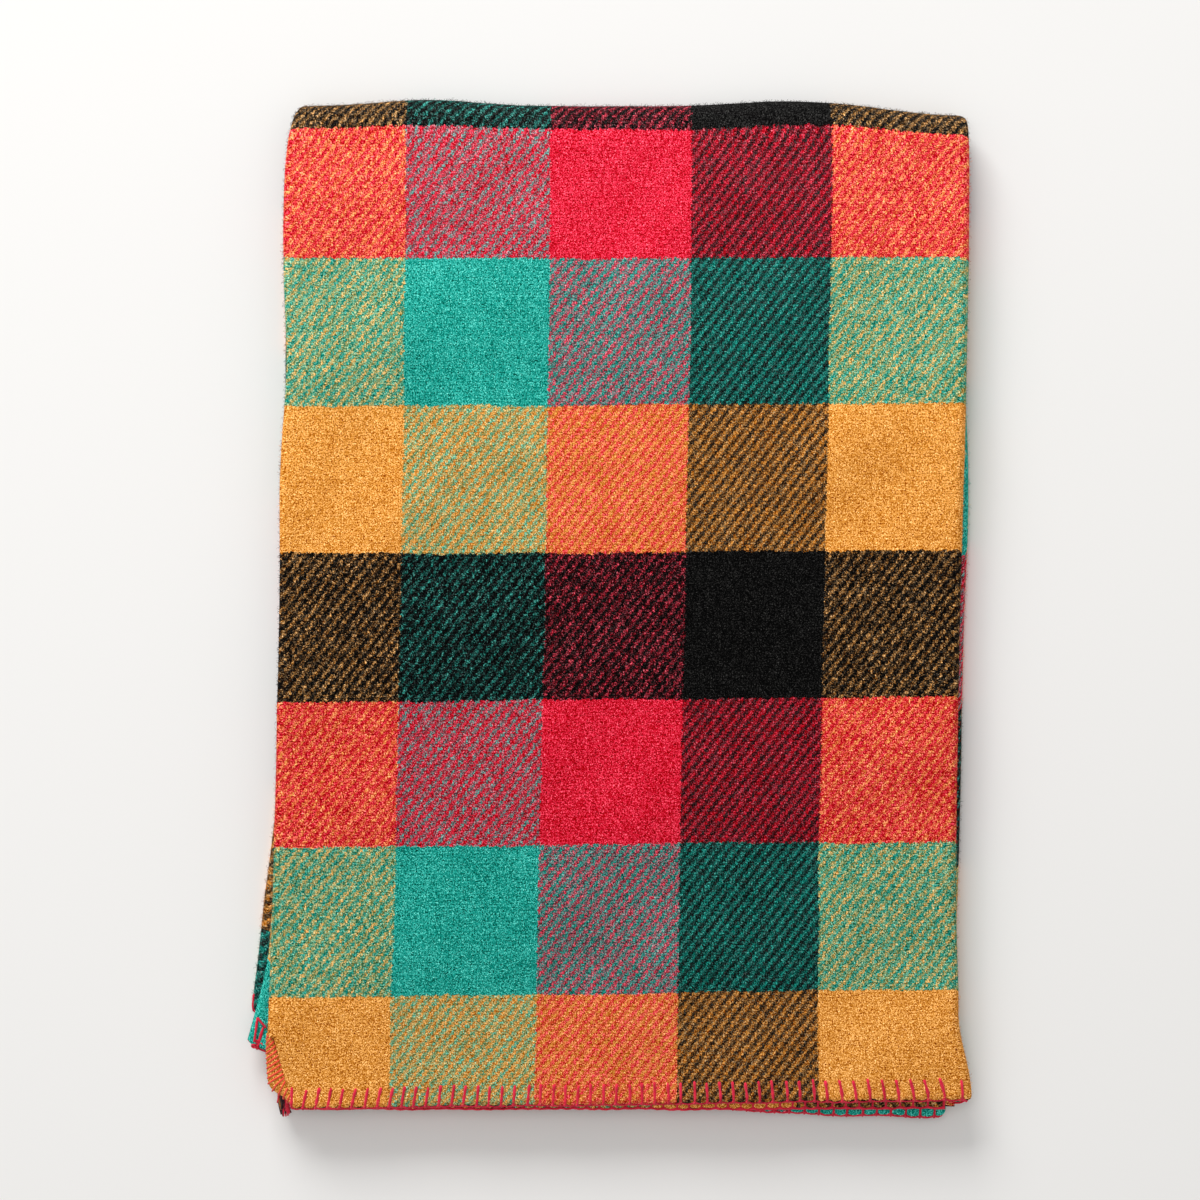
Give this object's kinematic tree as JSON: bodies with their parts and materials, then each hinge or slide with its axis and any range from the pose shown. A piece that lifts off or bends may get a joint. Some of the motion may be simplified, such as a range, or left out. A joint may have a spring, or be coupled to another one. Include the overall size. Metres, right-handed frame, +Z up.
{
  "type": "camp blanket",
  "caption": "Napped wool camp blanket in a four-colour check, blanket-stitched at its hems, folded lengthwise in thirds and then in half so that it opens like a book.",
  "frame": {"origin": "under the middle of the folded blanket's box, on the surface that it lies on", "axes": "+Y along the length, towards the crosswise fold; +X across the width, to the right; +Z up, out of the folded stack"},
  "size_m": [0.5751, 0.8108, 0.0318],
  "materials": {
    "wool_cloth": "napped, fulled wool twill in a check of gold, teal, red and black, 117 mm checks",
    "stitch_yarn": "two-ply red wool yarn, slightly hairy"
  },
  "bodies": {
    "lower": {"lower_half": "wool_cloth", "lower_hem_yarn": "stitch_yarn", "fold_bend": "wool_cloth"},
    "upper": {"upper_half": "wool_cloth", "upper_hem_yarn": "stitch_yarn", "yarn_end": "stitch_yarn"}
  },
  "joints": [
    {"name": "crosswise_fold", "type": "hinge", "parent": "lower", "child": "upper", "pos_m": [0, 0.3896, 0.0159], "axis": [-1, 0, 0], "range_deg": [0, 180], "deforming": ["fold_bend"]}
  ]
}
